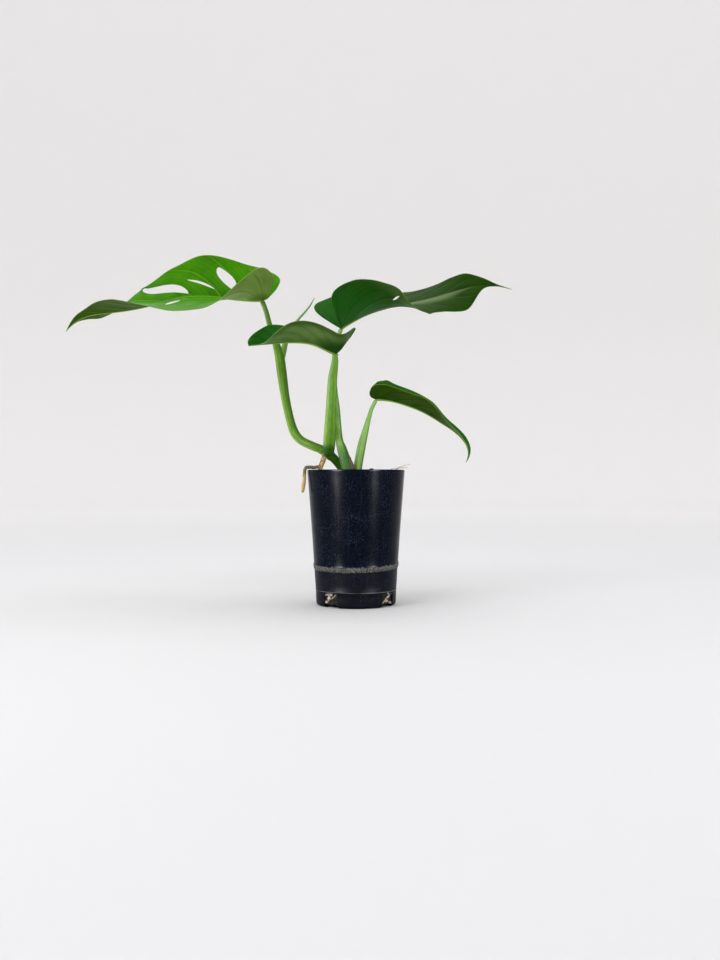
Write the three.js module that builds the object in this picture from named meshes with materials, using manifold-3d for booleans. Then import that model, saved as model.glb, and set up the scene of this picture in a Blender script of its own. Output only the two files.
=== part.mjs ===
import * as THREE from 'three';
import { mergeVertices } from 'three/addons/utils/BufferGeometryUtils.js';
import Module from 'manifold-3d';

const wasm = await Module();
wasm.setup();

// Millimetres, +Z up. The origin is the middle of the pot's underside. The photographed side faces -Y.

const fit = 0.3; // space left between pieces that touch
const bladeThickness = 0.8;

// The pot, as [radius, height] pairs up the outside and down the inside.
const potOutside = [
  [32.5, 0], [34.2, 0.7], [34.9, 2.6], // rounded foot
  [35.3, 12.8], [35.6, 13.3], [35.4, 13.8], // mould line
  [36.5, 29.8], [37.4, 30.6], [37.5, 34.2], [37.2, 34.6], // scuffed band
  [38.1, 56], [40.6, 90], [42.7, 116.7], [42.3, 117.5], // rim
];
const potInside = [
  [41.5, 117.2], [39.4, 90], [36.9, 56], [35.8, 34], [33.5, 4.5], [31.6, 1.8],
];
const potFloor = 1.8;
const potSides = 56;

const drainHole = { width: 14.5, bottom: -4, top: 12.6, corner: 2, from: 27, to: 42 };
const drainHoleTurn = [-38, 52, 142, 232]; // degrees round from the photographed side

// The potting mix, kept clear of the pot's inside wall.
const mixOutside = [
  [31.2, potFloor + fit], [33.1, 4.6], [35.4, 34], [36.5, 56], [39, 90], [40.4, 109],
];
const mixTop = [[39, 111.2], [33, 112.2], [22, 113], [11, 113]];
const mixSides = 40;
const chipCount = 30;
const tallChip = { at: [13, -27, 115.8], size: [3.6, 2.8, 3.6] };

// The stalks. Each station is [x, y, z, half width, half depth].
const vineStem = [
  [2, 10, 96, 3.6, 3.6], [-7.5, 9, 115.7, 3.8, 3.8], [-13.3, 8, 120.4, 3.8, 3.8],
  [-19, 6, 127.1, 3.9, 3.9], [-26, 4, 132.7, 4.3, 4.3], [-31.5, 3, 135.9, 3.8, 3.8],
  [-37.9, 3, 138.4, 3.8, 3.8], [-48.7, 6, 143.8, 3.8, 3.8], [-55, 10, 151.3, 3.9, 3.8],
  [-59.4, 14, 164, 3.7, 3.6], [-63.9, 19, 184.1, 3.9, 3.6], [-67.4, 24, 206.3, 4.4, 3.6],
  [-69.8, 28, 221.3, 4.2, 3.3], [-73.1, 31, 232.6, 3.4, 2.9], [-78.9, 34, 249.5, 2.5, 2.5],
  [-82.4, 35, 262.5, 2.2, 2.2], [-86, 34.2, 272.4, 2.4, 2.4],
];
const petiole2 = [
  [-6, -7, 96, 3.6, 3], [-7.4, -6.5, 113.8, 4.6, 3.2], [-9.1, -6, 124.3, 4.7, 3.2],
  [-12.4, -4, 135.7, 4.2, 3], [-14.5, -2.5, 142.8, 3.3, 2.7], [-15.6, 0, 152.5, 3.1, 2.6],
  [-16.9, 3, 170.3, 2.8, 2.5], [-18.6, 5, 188.1, 2.2, 2.1], [-19.3, 6, 205.9, 2, 2],
  [-18.1, 6.5, 223.6, 1.9, 1.9], [-15.8, 6, 235, 1.8, 1.8], [-13.4, 5.2, 241.8, 2.1, 2.1],
];
const petiole3 = [
  [-24.6, 1, 130, 4.6, 3.6], [-23.6, -3, 137.5, 5.2, 3.8], [-22.8, -7, 149, 5.2, 3.4],
  [-21.6, -12, 168.6, 4.7, 3], [-20.1, -17, 194.5, 4, 2.7], [-17.9, -21, 210.5, 2.9, 2.3],
  [-18.5, -22, 216.2, 2.2, 2.2],
];
const petiole4 = [
  [0.6, -2, 96, 3.2, 3], [1.1, -2, 113.9, 3.7, 3], [2.3, -2.5, 124.3, 3.8, 3],
  [4.9, -4, 138.3, 3.7, 2.8], [7.9, -5.5, 150.4, 2.9, 2.4], [11.2, -6.5, 162.6, 2, 2],
  [13.6, -7, 170.6, 1.7, 1.7], [17.2, -8, 177.8, 1.7, 1.7],
];
const newLeaf = [
  [-67.6, 28.6, 214, 1.8, 1.6], [-66.2, 29.6, 225.2, 2.6, 2.2], [-64.4, 30, 233.4, 2.4, 2.2],
  [-59.7, 29, 244.1, 1.8, 1.8], [-53.3, 27, 253.3, 1.5, 1.5], [-44.3, 25, 263.2, 1.4, 1.4],
  [-40.4, 24, 268.6, 1, 1], [-37.6, 23, 273.4, 0.4, 0.4],
];
const rootDown = [
  [-26.6, 2, 131.5, 2, 2], [-27.8, 0, 129, 2.3, 2.3], [-29.3, -1, 124.4, 2.2, 2.2],
  [-31, -2, 119.1, 2, 2], [-32, -2, 113, 1.7, 1.7], [-32.5, -2, 104, 1.3, 1.3],
];
const rootOverRim = [
  [-30.6, -2, 120.6, 1.4, 1.4], [-36.3, -5, 119.6, 1.5, 1.5], [-40.6, -7, 119.7, 1.5, 1.5],
  [-43.6, -8, 119, 1.5, 1.5], [-44.7, -8.2, 114.6, 1.5, 1.5], [-44.9, -8.2, 108, 1.5, 1.5],
  [-45.8, -8.3, 102.5, 1.5, 1.5], [-46.4, -8.4, 98.4, 1.3, 1.3], [-46.5, -8.4, 97.6, 0.7, 0.7],
];
const drySheath = [
  [-1.7, -7.8, 104, 1.3, 0.5], [-1.8, -7.8, 114, 1.5, 0.5], [-3, -7.8, 121, 1.2, 0.45],
  [-5, -7.2, 127, 0.8, 0.4], [-6.4, -6.6, 130.5, 0.4, 0.3],
];

function spline(rows, u) {
  const last = rows.length - 1;
  const place = Math.min(Math.max(u, 0), 1) * last;
  const i = Math.min(Math.floor(place), last - 1);
  const w = place - i;
  const through = (a, b, c, d) => {
    const inward = (c - a) / 2;
    const outward = (d - b) / 2;
    return (2 * b - 2 * c + inward + outward) * w ** 3
      + (3 * c - 3 * b - 2 * inward - outward) * w ** 2 + inward * w + b;
  };
  const [a, b, c, d] = [rows[Math.max(i - 1, 0)], rows[i], rows[i + 1], rows[Math.min(i + 2, last)]];
  return Array.isArray(b) ? b.map((_, k) => through(a[k], b[k], c[k], d[k])) : through(a, b, c, d);
}

function geometry(points, triangles) {
  const made = new THREE.BufferGeometry();
  made.setAttribute('position', new THREE.Float32BufferAttribute(points.flat(), 3));
  made.setIndex(triangles.flat());
  return made;
}

function solid(source) {
  const bare = new THREE.BufferGeometry();
  bare.setAttribute('position', source.getAttribute('position').clone());
  if (source.index) bare.setIndex(source.index.clone());
  const merged = mergeVertices(bare, 1e-3);
  const corners = Array.from(merged.index.array);
  const kept = [];
  for (let k = 0; k < corners.length; k += 3) {
    const [a, b, c] = corners.slice(k, k + 3);
    if (a !== b && b !== c && a !== c) kept.push(a, b, c);
  }
  return new wasm.Manifold(new wasm.Mesh({
    numProp: 3,
    vertProperties: new Float32Array(merged.getAttribute('position').array),
    triVerts: new Uint32Array(kept),
  }));
}

// The main body of a joined solid, without loose scraps or sealed hollows.
function mainBody(joined) {
  return joined.decompose().sort((a, b) => b.volume() - a.volume())[0];
}

function surfaceOf(shape) {
  const mesh = mainBody(shape).getMesh();
  const made = new THREE.BufferGeometry();
  made.setAttribute('position', new THREE.BufferAttribute(new Float32Array(mesh.vertProperties), 3));
  made.setIndex(Array.from(mesh.triVerts));
  return made;
}

function piece(name, shape, colour, roughness) {
  const made = surfaceOf(solid(surfaceOf(shape)));
  made.computeVertexNormals();
  const node = new THREE.Mesh(made, new THREE.MeshStandardMaterial({ color: colour, roughness }));
  node.name = name;
  return node;
}

// A closed tube through rings of { spot, across, out, wide, deep }. Its flat ends stand out by grow.
function tube(rings, sides, grow = 0) {
  for (const [end, next] of [[rings[0], rings[1]], [rings.at(-1), rings.at(-2)]]) {
    end.spot.addScaledVector(end.spot.clone().sub(next.spot).normalize(), grow);
  }
  const points = [];
  const triangles = [];
  for (const { spot, across, out, wide, deep } of rings) {
    for (let j = 0; j < sides; j += 1) {
      const turn = (2 * Math.PI * (j + 0.2)) / sides;
      const point = spot.clone()
        .addScaledVector(across, Math.cos(turn) * wide)
        .addScaledVector(out, Math.sin(turn) * deep);
      points.push(point.toArray());
    }
  }
  for (let i = 0; i < rings.length - 1; i += 1) {
    for (let j = 0; j < sides; j += 1) {
      const [a, b] = [i * sides + j, i * sides + ((j + 1) % sides)];
      triangles.push([a, b, b + sides], [a, b + sides, a + sides]);
    }
  }
  const end = (rings.length - 1) * sides;
  for (let j = 1; j < sides - 1; j += 1) {
    triangles.push([0, j + 1, j], [end, end + j, end + j + 1]);
  }
  return solid(geometry(points, triangles));
}

// A stalk swept through its stations. Its width lies square to Y.
function stalk(stations, { sides = 10, rings = 22, grow = 0 } = {}) {
  const step = 1e-3;
  const made = [];
  for (let i = 0; i <= rings; i += 1) {
    const u = i / rings;
    const [x, y, z, wide, deep] = spline(stations, u);
    const before = spline(stations, u - step);
    const after = spline(stations, u + step);
    const along = new THREE.Vector3(...[0, 1, 2].map((k) => after[k] - before[k])).normalize();
    const across = new THREE.Vector3(0, 1, 0).cross(along).normalize();
    const out = new THREE.Vector3().crossVectors(along, across);
    made.push({ spot: new THREE.Vector3(x, y, z), across, out, wide: wide + grow, deep: deep + grow });
  }
  return tube(made, sides, grow);
}

// The leaves. Angles are degrees. The midrib sets out from base along heading and climb, which are spread
// evenly from base to tip. Each half folds up from flat by rise and bends towards its edge by curl. The
// outline gives [along / length, across / half width] round each half. A hole opens along a side vein of one
// half, 1 for left: along places it by share of the outline, and across from midrib to edge.
const riseAt = [-0.12, 0.03, 0.16, 0.32, 0.5, 0.7, 0.9];
const curlAt = [-0.1, 0.25, 0.6, 0.9];
const veinFoot = [0, 0, 0, 0, 0.03, 0.13, 0.28, 0.44, 0.59, 0.74, 0.86, 1];

const leaf1 = {
  base: [-86.6, 34, 272.8],
  length: 194,
  halfWidth: 50.6,
  heading: [170, 172, 175, 177],
  climb: [2, 8, 0, -15, -8, -9, -50],
  rib: [1.6, 0.2],
  ripple: [1.5, 2.4],
  columns: [0, 0.05, 0.1, 0.2, 0.3, 0.4, 0.5, 0.6, 0.74, 0.85, 0.96, 1],
  rows: 28,
  holes: [
    { side: -1, along: [0.443, 0.452], across: [0.2, 0.74], width: 0.022 },
    { side: -1, along: [0.502, 0.548], across: [0.2, 0.5], width: 0.009 },
    { side: 1, along: [0.553, 0.545], across: [0.4, 0.74], width: 0.012 },
    { side: -1, along: [0.584, 0.63], across: [0.1, 0.96], width: 0.027 },
  ],
  left: {
    ripplePhase: -0.23,
    rise: [49, 15, -10, -15, -10, 8, 28],
    curl: [7, -25, -7, -5],
    outline: [[0, 0], [-0.05, 0.2], [-0.08, 0.51], [-0.03, 0.85], [0.11, 0.93], [0.3, 0.93], [0.48, 0.92],
      [0.64, 0.8], [0.76, 0.53], [0.85, 0.24], [0.92, 0.12], [1, 0]],
  },
  right: {
    ripplePhase: 0.39,
    rise: [50, 63, 63, 59, 42, 26, -14],
    curl: [-24, 4, 20, -7],
    outline: [[0, 0], [-0.03, 0.06], [-0.06, 0.38], [-0.04, 0.69], [0.11, 0.85], [0.3, 0.94], [0.48, 0.89],
      [0.64, 0.75], [0.76, 0.51], [0.85, 0.2], [0.92, 0.04], [1, 0]],
  },
};
const leaf2 = {
  base: [-12.8, 5, 242.5],
  length: 187,
  halfWidth: 46.5,
  heading: [60, 31, -13, 1],
  climb: [26, 25, 18, 12, 14, 7, -19],
  rib: [1.5, 0.2],
  ripple: [1.7, 0.56],
  columns: [0, 0.05, 0.25, 0.5, 0.75, 1],
  rows: 32,
  holes: [],
  left: {
    ripplePhase: -0.39,
    rise: [57, 47, 41, 36, 31, 44, 69],
    curl: [0, 11, -11, 15],
    outline: [[0, 0], [-0.01, 0.21], [-0.06, 0.5], [-0.01, 0.68], [0.17, 0.74], [0.3, 0.79], [0.48, 0.78],
      [0.64, 0.68], [0.76, 0.49], [0.85, 0.21], [0.92, 0.04], [1, 0]],
  },
  right: {
    ripplePhase: 0.25,
    rise: [85, 65, 32, -1, -20, -38, -54],
    curl: [-11, 2, -16, -26],
    outline: [[0, 0], [-0.08, 0.1], [-0.08, 0.42], [-0.06, 0.8], [0.2, 1.04], [0.3, 0.95], [0.48, 0.8],
      [0.64, 0.67], [0.76, 0.63], [0.85, 0.12], [0.92, 0.02], [1, 0]],
  },
};
const leaf3 = {
  base: [-18.9, -22, 216.4],
  length: 78,
  halfWidth: 28.5,
  heading: [199, 184, 172, 162, 155],
  climb: [20, 24, 7, 0, -2, -2, -2],
  rib: [1.3, 0.2],
  ripple: [4.6, 1.46],
  columns: [0, 0.05, 0.3, 0.65, 1],
  rows: 32,
  holes: [],
  left: {
    ripplePhase: -0.33,
    rise: [73, 40, 37, 30, 20, 4, -11],
    curl: [5, -7, -7, -5],
    outline: [[0, 0], [-0.04, 0.11], [-0.08, 0.55], [-0.1, 0.98], [0.2, 0.94], [0.36, 0.91], [0.56, 0.87],
      [0.71, 0.6], [0.82, 0.28], [0.9, 0.1], [0.95, 0.03], [1, 0]],
  },
  right: {
    ripplePhase: 0.06,
    rise: [17, 36, 36, 38, 42, 42, 44],
    curl: [-13, 3, 15, 15],
    outline: [[0, 0], [-0.05, 0.16], [-0.09, 0.42], [-0.01, 0.72], [0.13, 0.9], [0.34, 0.96], [0.56, 0.88],
      [0.73, 0.77], [0.89, 0.7], [1.02, 0.58], [1.05, 0.3], [1, 0]],
  },
};
const leaf4 = {
  base: [18.1, -8, 178.4],
  length: 109,
  halfWidth: 21.3,
  heading: [3, 20, 1, -14],
  climb: [0, -14, -19, -30, -35, -58, -114],
  rib: [1.1, 0.2],
  ripple: [-1.25, -0.25],
  columns: [0, 0.06, 0.35, 0.7, 1],
  rows: 32,
  holes: [],
  left: {
    ripplePhase: -0.26,
    rise: [57, 56, 44, 43, 49, 43, 62],
    curl: [-2, 13, 6, 13],
    outline: [[0, 0], [0.01, 0.13], [-0.04, 0.51], [-0.01, 0.76], [0.05, 0.93], [0.28, 1], [0.44, 0.86],
      [0.58, 0.5], [0.7, 0.34], [0.8, 0.22], [0.9, 0.11], [1, 0]],
  },
  right: {
    ripplePhase: 0.49,
    rise: [47, 41, 24, 24, 20, 12, 9],
    curl: [2, 1, -21, 3],
    outline: [[0, 0], [-0.05, 0.14], [-0.06, 0.43], [-0.02, 0.78], [0.13, 0.93], [0.28, 0.95], [0.44, 0.88],
      [0.58, 0.63], [0.7, 0.42], [0.8, 0.2], [0.9, 0.05], [1, 0]],
  },
};
const firstRow = 0.03;

function between(values, places, x) {
  const last = places.length - 1;
  let i = 0;
  while (i < last - 1 && x > places[i + 1]) i += 1;
  const w = Math.min(Math.max((x - places[i]) / (places[i + 1] - places[i]), 0), 1);
  return spline(values, (i + w) / last);
}

function radians(degrees) {
  return (degrees * Math.PI) / 180;
}

// Points along the midrib, with the direction it runs in and the level direction across it.
function midribOf(leaf) {
  const steps = 80;
  const line = [];
  const place = new THREE.Vector3(...leaf.base);
  let before = null;
  for (let i = 0; i <= steps; i += 1) {
    const heading = radians(spline(leaf.heading, i / steps));
    const climb = radians(spline(leaf.climb, i / steps));
    const run = new THREE.Vector3(
      Math.cos(climb) * Math.cos(heading), Math.cos(climb) * Math.sin(heading), Math.sin(climb));
    if (before) place.addScaledVector(before.clone().add(run), leaf.length / steps / 2);
    line.push({ place: place.clone(), run, heading });
    before = run;
  }
  return (x) => {
    const at = Math.min(Math.max(x, 0), 1) * steps;
    const i = Math.min(Math.floor(at), steps - 1);
    const w = at - i;
    const run = line[i].run.clone().lerp(line[i + 1].run, w).normalize();
    const heading = line[i].heading * (1 - w) + line[i + 1].heading * w;
    const across = new THREE.Vector3(-Math.sin(heading), Math.cos(heading), 0);
    const up = new THREE.Vector3().crossVectors(run, across);
    const spot = line[i].place.clone().lerp(line[i + 1].place, w);
    spot.addScaledVector(run, (Math.min(x, 0) + Math.max(x - 1, 0)) * leaf.length);
    return { spot, run, across, up };
  };
}

// A place on one half of a blade: u counts round the outline, t from the midrib to the edge.
function bladePoint(leaf, midrib, side, u, t) {
  const half = side > 0 ? leaf.left : leaf.right;
  const [edgeX, edgeY] = spline(half.outline, u);
  const foot = spline(veinFoot, u);
  const x = foot + (edgeX - foot) * t;
  const y = Math.max(edgeY * t, 0);
  const { spot, across, up } = midrib(x);
  const rise = radians(between(half.rise, riseAt, x));
  const bend = radians(between(half.curl, curlAt, x)) / leaf.halfWidth || 1e-5;
  const turned = rise + bend * y * leaf.halfWidth;
  const wave = leaf.ripple[0] * y ** 1.5
    * Math.sin(2 * Math.PI * (leaf.ripple[1] * x + half.ripplePhase));
  return spot
    .addScaledVector(across, (side * (Math.sin(turned) - Math.sin(rise))) / bend)
    .addScaledVector(up, (Math.cos(rise) - Math.cos(turned)) / bend + wave);
}

// A thin sheet of triangles made solid, with the same triangles on both faces. It stands out by grow all
// round, and each point may hang lower on the underside, which makes a rib.
function thicken(points, triangles, ribs, grow) {
  const normals = points.map(() => new THREE.Vector3());
  for (const corners of triangles) {
    const [a, b, c] = corners.map((k) => points[k]);
    const normal = b.clone().sub(a).cross(c.clone().sub(a));
    for (const k of corners) normals[k].add(normal);
  }
  normals.forEach((normal) => normal.normalize());
  const edges = new Map();
  for (const [a, b, c] of triangles) {
    for (const [p, q] of [[a, b], [b, c], [c, a]]) edges.set(`${p} ${q}`, [p, q]);
  }
  const border = [...edges.values()].filter(([p, q]) => !edges.has(`${q} ${p}`));
  const away = points.map(() => new THREE.Vector3());
  for (const [p, q] of border) {
    const edge = points[q].clone().sub(points[p]).normalize();
    for (const k of [p, q]) away[k].add(edge.clone().cross(normals[k]));
  }
  const moved = (k, shift) => points[k].clone()
    .addScaledVector(normals[k], shift)
    .addScaledVector(away[k].clone().normalize(), grow)
    .toArray();
  const half = bladeThickness / 2 + grow;
  const upper = points.map((_, k) => moved(k, half));
  const lower = points.map((_, k) => moved(k, -half - ribs[k]));
  const count = points.length;
  const made = [];
  for (const [a, b, c] of triangles) made.push([a, b, c], [c + count, b + count, a + count]);
  for (const [p, q] of border) made.push([q, p, p + count], [q, p + count, q + count]);
  return solid(geometry([...upper, ...lower], made));
}

// The rows run from midrib to edge, alike for both halves at the midrib. A hole has a row on each side.
function rowsOf(leaf, side) {
  const bounds = [() => firstRow];
  for (const hole of leaf.holes) {
    const own = hole.side === side;
    const share = (t) => Math.min(Math.max((t - hole.across[0]) / (hole.across[1] - hole.across[0]), 0), 1);
    const middle = (t) => hole.along[0] + (own ? (hole.along[1] - hole.along[0]) * share(t) : 0);
    const open = (t) => (own ? hole.width * Math.sin(Math.PI * share(t)) ** 0.7 : 0);
    bounds.push((t) => middle(t) - open(t), (t) => middle(t) + open(t));
  }
  bounds.push(() => 1);
  const rows = [];
  for (let k = 0; k < bounds.length - 1; k += 1) {
    const [from, to] = [bounds[k], bounds[k + 1]];
    const hole = k % 2 === 1;
    const parts = hole ? 1 : Math.ceil((to(0) - from(0)) * leaf.rows);
    for (let n = 0; n < parts; n += 1) {
      rows.push({ hole, at: (t) => from(t) + ((to(t) - from(t)) * n) / parts });
    }
  }
  rows.push({ hole: false, at: () => 1 });
  return rows;
}

// A whole leaf: both halves as one sheet, with the rib under its midrib.
function leafShape(leaf, grow = 0) {
  const midrib = midribOf(leaf);
  const points = [];
  const ribs = [];
  const triangles = [];
  const known = new Map();
  for (const side of [1, -1]) {
    const rows = rowsOf(leaf, side);
    const grid = rows.map((row) => leaf.columns.map((t) => {
      const point = bladePoint(leaf, midrib, side, row.at(t), t);
      const key = point.toArray().map((v) => v.toFixed(3)).join(' ');
      if (!known.has(key)) {
        known.set(key, points.length);
        points.push(point);
        ribs.push(t === 0 ? leaf.rib[0] + (leaf.rib[1] - leaf.rib[0]) * row.at(0) : 0);
      }
      return known.get(key);
    }));
    const add = (a, b, c) => {
      if (a !== b && b !== c && a !== c) triangles.push(side > 0 ? [a, b, c] : [c, b, a]);
    };
    for (let i = 0; i < grid.length - 1; i += 1) {
      if (rows[i].hole) continue;
      for (let j = 0; j < leaf.columns.length - 1; j += 1) {
        const [a, b, c, d] = [grid[i][j], grid[i + 1][j], grid[i + 1][j + 1], grid[i][j + 1]];
        add(a, b, c);
        add(a, c, d);
      }
    }
  }
  return thicken(points, triangles, ribs, grow);
}

// What a stalk is cut back by to clear its leaf.
function clearanceOf(leaf) {
  const reach = bladeThickness / 2 + leaf.rib[0] + fit;
  const ball = new THREE.IcosahedronGeometry(reach, 2).translate(...leaf.base);
  return leafShape(leaf, fit).add(solid(ball));
}

function turned(profile, sides) {
  return new THREE.LatheGeometry(profile.map(([r, z]) => new THREE.Vector2(r, z)), sides)
    .rotateX(Math.PI / 2);
}

function potShape() {
  let shape = solid(turned([[0, 0], ...potOutside, ...potInside, [0, potFloor]], potSides));
  const { width, bottom, top, corner, from, to } = drainHole;
  const outline = new THREE.Shape();
  outline.moveTo(-width / 2, bottom);
  outline.lineTo(width / 2, bottom);
  outline.lineTo(width / 2, top - corner);
  outline.quadraticCurveTo(width / 2, top, width / 2 - corner, top);
  outline.lineTo(corner - width / 2, top);
  outline.quadraticCurveTo(-width / 2, top, -width / 2, top - corner);
  for (const turn of drainHoleTurn) {
    const cutter = new THREE.ExtrudeGeometry(outline, { depth: to - from, bevelEnabled: false, curveSegments: 3 })
      .translate(0, 0, from)
      .rotateX(Math.PI / 2)
      .rotateZ(radians(turn));
    shape = shape.subtract(solid(cutter));
  }
  return shape;
}

function seeded(seed) {
  let state = seed;
  return () => {
    state = (state * 1664525 + 1013904223) % 4294967296;
    return state / 4294967296;
  };
}

function chip(at, size, turns) {
  return solid(new THREE.IcosahedronGeometry(1, 0)
    .scale(...size)
    .rotateX(turns[0])
    .rotateY(turns[1])
    .rotateZ(turns[2])
    .translate(...at));
}

function mixShape() {
  const body = turned([[0, potFloor + fit], ...mixOutside, ...mixTop, [0, 112.6]], mixSides);
  let shape = solid(body);
  const random = seeded(7);
  for (let k = 0; k < chipCount; k += 1) {
    const reach = 35 * Math.sqrt(random());
    const turn = 2 * Math.PI * random();
    const at = [reach * Math.cos(turn), reach * Math.sin(turn), 112.4 + 1.4 * random()];
    const size = [2.6 + 2.4 * random(), 1.8 + 1.4 * random(), 1.1 + 0.8 * random()];
    shape = shape.add(chip(at, size, [0.5 * random(), 0.5 * random(), 6 * random()]));
  }
  return shape.add(chip(tallChip.at, tallChip.size, [0.2, 0.1, 0.4]));
}

const grownVine = stalk(vineStem, { rings: 32, grow: fit });
const grownPetiole2 = stalk(petiole2, { grow: fit });
const grownPetiole3 = stalk(petiole3, { grow: fit });
const grownPetiole4 = stalk(petiole4, { grow: fit });
const rootShape = (grow) => stalk(rootDown, { sides: 8, rings: 14, grow })
  .add(stalk(rootOverRim, { sides: 8, rings: 24, grow }));
const grownDrySheath = stalk(drySheath, { sides: 8, rings: 12, grow: fit });

const green = 0x3f8a2a;
const plant = new THREE.Group();
plant.name = 'potted_monstera';
plant.add(
  piece('pot', potShape(), 0x15171c, 0.35),
  piece('potting_mix', mixShape()
    .subtract(grownVine).subtract(grownPetiole2).subtract(grownPetiole4).subtract(rootShape(fit))
    .subtract(grownDrySheath), 0x5a4332, 0.95),
  piece('vine_stem', stalk(vineStem, { rings: 32 }).subtract(clearanceOf(leaf1)), green, 0.5),
  piece('petiole_2', stalk(petiole2).subtract(clearanceOf(leaf2)), green, 0.5),
  piece('petiole_3', stalk(petiole3).subtract(grownVine).subtract(clearanceOf(leaf3)), 0x6fa14a, 0.5),
  piece('petiole_4', stalk(petiole4).subtract(clearanceOf(leaf4)), 0x6fb13f, 0.5),
  piece('new_leaf_spear', stalk(newLeaf, { sides: 8, rings: 16 }).subtract(grownVine), 0x86a070, 0.5),
  piece('aerial_root', rootShape(0).subtract(grownVine).subtract(grownPetiole3), 0xb09a55, 0.8),
  piece('dry_sheath', stalk(drySheath, { sides: 8, rings: 12 }).subtract(grownPetiole2), 0x7a5230, 0.8),
  piece('leaf_1', leafShape(leaf1), 0x3c8f10, 0.45),
  piece('leaf_2', leafShape(leaf2), 0x2d6a10, 0.45),
  piece('leaf_3', leafShape(leaf3), 0x3f7020, 0.45),
  piece('leaf_4', leafShape(leaf4), 0x2f6010, 0.45),
);

export default plant;
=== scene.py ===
import math
import random
import bpy
import numpy as np
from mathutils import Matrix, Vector, noise


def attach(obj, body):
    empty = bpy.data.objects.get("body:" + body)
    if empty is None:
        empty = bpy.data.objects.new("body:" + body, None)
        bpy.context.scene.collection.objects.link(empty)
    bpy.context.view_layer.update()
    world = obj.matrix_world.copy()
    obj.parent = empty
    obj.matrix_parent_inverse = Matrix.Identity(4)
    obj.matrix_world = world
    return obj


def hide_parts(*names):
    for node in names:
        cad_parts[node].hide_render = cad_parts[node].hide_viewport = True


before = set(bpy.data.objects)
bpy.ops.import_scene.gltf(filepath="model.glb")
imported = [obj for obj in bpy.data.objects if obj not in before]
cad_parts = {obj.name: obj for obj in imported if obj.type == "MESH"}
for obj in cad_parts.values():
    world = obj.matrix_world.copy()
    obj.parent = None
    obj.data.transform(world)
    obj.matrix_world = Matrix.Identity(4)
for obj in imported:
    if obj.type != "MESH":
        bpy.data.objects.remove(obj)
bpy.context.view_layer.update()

mm = 0.001  # every size below is in millimetres, on Blender's metres


def clearSelection():
    bpy.ops.object.select_all(action="DESELECT")


def onlySelect(obj):
    clearSelection()
    obj.select_set(True)
    bpy.context.view_layer.objects.active = obj


def applyModifier(obj, kind, **settings):
    onlySelect(obj)
    modifier = obj.modifiers.new(kind.title(), kind)
    for key, value in settings.items():
        setattr(modifier, key, value)
    bpy.ops.object.modifier_apply(modifier=modifier.name)


def startEditing(obj):  # with all of it selected
    onlySelect(obj)
    bpy.ops.object.mode_set(mode="EDIT")
    bpy.ops.mesh.select_all(action="SELECT")


def stopEditing():
    bpy.ops.object.mode_set(mode="OBJECT")


def weld(obj, distance=0.002 * mm, outward=True):
    startEditing(obj)
    bpy.ops.mesh.remove_doubles(threshold=distance)
    if outward:
        bpy.ops.mesh.normals_make_consistent(inside=False)
    stopEditing()


def joinAll(parts, name):
    onlySelect(parts[0])
    for part in parts:
        part.select_set(True)
    if len(parts) > 1:
        bpy.ops.object.join()
    parts[0].name = name
    parts[0].data.name = name
    return parts[0]


def smooth(obj, angle):  # degrees
    onlySelect(obj)
    bpy.ops.object.shade_smooth_by_angle(angle=math.radians(angle))


def pointsOf(obj):
    points = np.empty(len(obj.data.vertices) * 3, dtype=np.float32)
    obj.data.vertices.foreach_get("co", points)
    return points.reshape(-1, 3).astype(float)


def setPoints(obj, points):
    obj.data.vertices.foreach_set("co", np.asarray(points, dtype=np.float32).ravel())
    obj.data.update()


def addLayers(obj, layers):  # numbers on the points, for the materials to read
    for key, value in layers.items():
        layer = obj.data.attributes.new(key, "FLOAT", "POINT")
        layer.data.foreach_set("value", np.ascontiguousarray(value, dtype=np.float32).ravel())


def layerOf(obj, key):
    values = np.empty(len(obj.data.vertices), dtype=np.float32)
    obj.data.attributes[key].data.foreach_get("value", values)
    return values


def addGrid(across, along):
    clearSelection()
    bpy.ops.mesh.primitive_grid_add(x_subdivisions=across, y_subdivisions=along, size=2)
    return bpy.context.object


def finerProfile(profile, longest, fewest=lambda radius, height: 1):  # more points along a turned outline
    finer = []
    for (r0, z0), (r1, z1) in zip(profile, profile[1:]):
        count = max(fewest(r0, z0), int(math.hypot(r1 - r0, z1 - z0) / longest))
        finer += [(r0 + (r1 - r0) * k / count, z0 + (z1 - z0) * k / count) for k in range(count)]
    return finer + [profile[-1]]


def turnedShape(name, profile, steps):
    mesh = bpy.data.meshes.new(name)
    mesh.from_pydata([(r * mm, 0, z * mm) for r, z in profile],
                     [(k, k + 1) for k in range(len(profile) - 1)], [])
    turned = bpy.data.objects.new(name, mesh)
    bpy.context.collection.objects.link(turned)
    startEditing(turned)
    bpy.ops.mesh.spin(steps=steps, angle=2 * math.pi, center=(0, 0, 0), axis=(0, 0, 1))
    stopEditing()
    weld(turned)
    return turned


def finish(obj, node):
    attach(obj, "root")
    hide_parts(node)
    print("made", obj.name, len(obj.data.polygons), "faces")


def splineAt(rows, u):  # an even curve through all the rows, as in the CAD
    rows = np.asarray(rows, dtype=float)
    last = len(rows) - 1
    place = np.clip(u, 0, 1) * last
    i = np.minimum(np.floor(place).astype(int), last - 1)
    w = place - i
    if rows.ndim > 1:
        w = w[..., None]
    a, b, c, d = (rows[np.clip(i + k, 0, last)] for k in (-1, 0, 1, 2))
    inward, outward = (c - a) / 2, (d - b) / 2
    return ((2 * b - 2 * c + inward + outward) * w ** 3
            + (3 * c - 3 * b - 2 * inward - outward) * w ** 2 + inward * w + b)


def between(values, places, x):
    places = np.asarray(places, dtype=float)
    last = len(places) - 1
    i = np.searchsorted(places[1:last], x, side="left")
    w = np.clip((x - places[i]) / (places[i + 1] - places[i]), 0, 1)
    return splineAt(values, (i + w) / last)


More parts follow.
